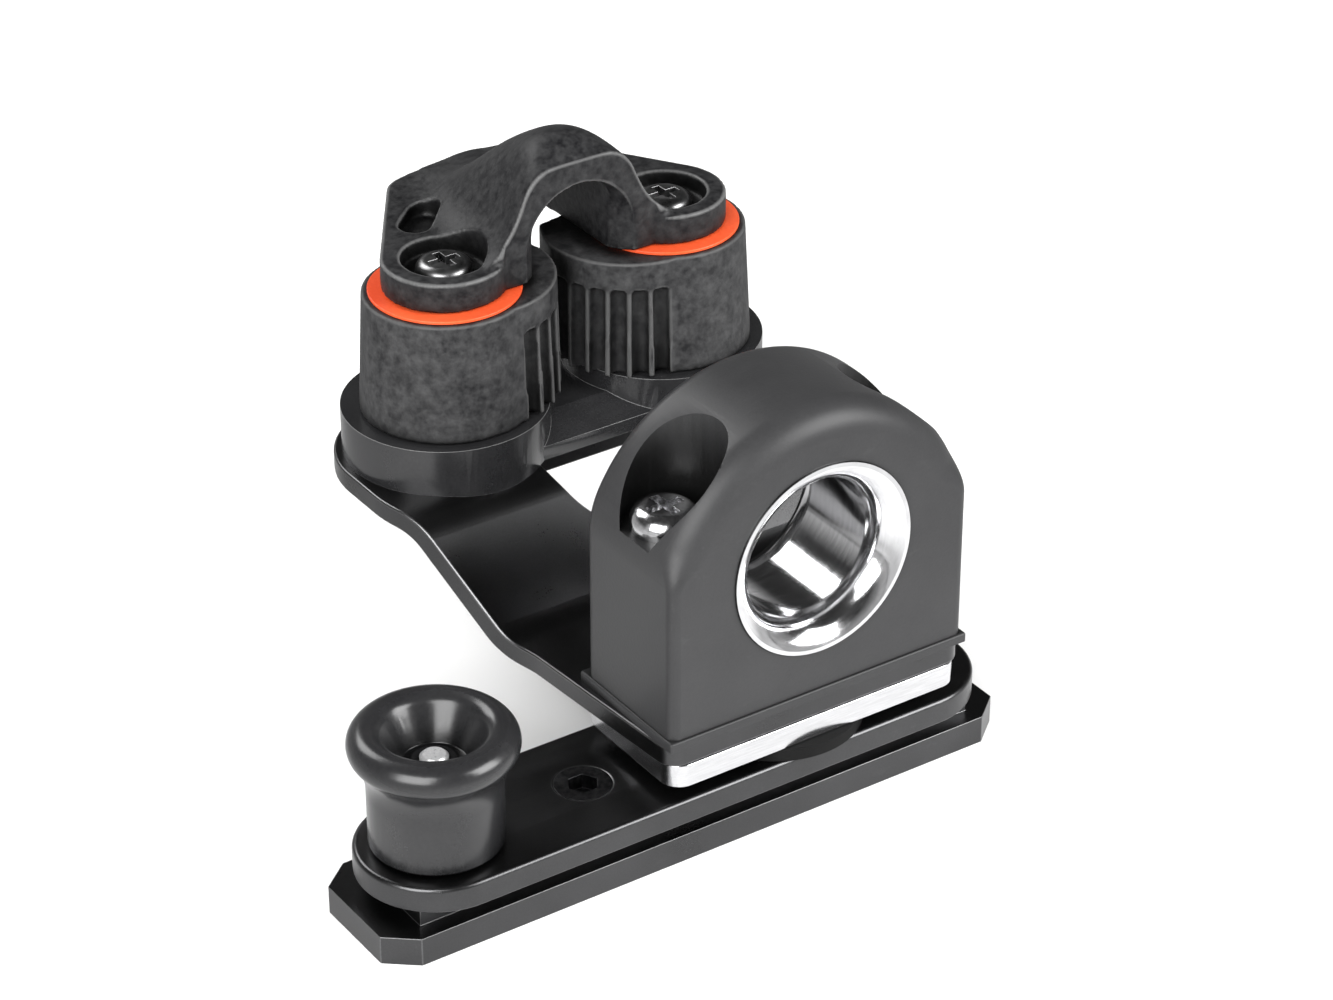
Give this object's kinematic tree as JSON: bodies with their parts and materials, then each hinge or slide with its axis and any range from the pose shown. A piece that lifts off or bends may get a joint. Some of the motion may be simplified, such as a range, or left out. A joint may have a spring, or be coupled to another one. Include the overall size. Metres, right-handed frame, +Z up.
{
  "type": "track swivel fairlead",
  "caption": "Track car with a spring plunger stop and a swivelling through fairlead whose raised arm carries a cam cleat under a hooded cap.",
  "frame": {"origin": "on the swivel axis at the underside of the runner that slides inside the track", "axes": "+X along the track, +Y from the fairlead back to the cleat with the arm square to the track, +Z up"},
  "size_m": [0.1048, 0.094, 0.0837],
  "materials": {
    "black_anodised": "hard anodised black, satin",
    "black_steel": "blackened, satin",
    "steel": "polished stainless",
    "black_nylon": "fine grained moulding",
    "cam_black": "fibre filled moulding, dull",
    "acetal": "smooth black",
    "orange_washer": "smooth orange red"
  },
  "bodies": {
    "slide": {"slide_runner": "black_anodised", "slide_plate": "black_anodised", "slide_screws": "black_steel", "thrust_washer": "acetal", "plunger_bush": "steel", "pivot_bolt": "steel", "pivot_washer": "steel", "pivot_nut": "steel"},
    "plunger": {"plunger_knob": "black_nylon", "plunger_pin": "steel", "plunger_spring": "steel"},
    "swivel": {"swivel_plate": "steel", "pivot_bush": "acetal", "swivel_arm": "black_anodised", "fairlead_block": "black_nylon", "fairlead_liner": "steel", "block_screws": "steel", "cleat_base": "black_nylon", "cleat_cap": "black_nylon", "cleat_screws": "steel", "cam_sleeves": "steel", "cam_springs": "steel"},
    "cam_left": {"cam_left": "cam_black", "cam_ring_left": "orange_washer"},
    "cam_right": {"cam_right": "cam_black", "cam_ring_right": "orange_washer"}
  },
  "joints": [
    {"name": "swivel_turn", "type": "hinge", "parent": "slide", "child": "swivel", "pos_m": [0, 0, 0.015], "axis": [0, 0, 1], "range_deg": [-216, 36]},
    {"name": "plunger_lift", "type": "slide", "parent": "slide", "child": "plunger", "axis": [0, 0, 1], "range_m": [0, 0.005], "stiffness_N_per_m": 800, "springref_m": -0.008, "deforming": ["plunger_spring"]},
    {"name": "cam_left_turn", "type": "hinge", "parent": "swivel", "child": "cam_left", "pos_m": [-0.019, 0.0555, 0.05], "axis": [0, 0, 1], "range_deg": [0, 30], "stiffness_Nm_per_rad": 0.05, "springref_deg": -17.19},
    {"name": "cam_right_turn", "type": "hinge", "parent": "swivel", "child": "cam_right", "pos_m": [0.019, 0.0555, 0.05], "axis": [0, 0, 1], "range_deg": [-30, 0], "stiffness_Nm_per_rad": 0.05, "springref_deg": 17.19}
  ]
}
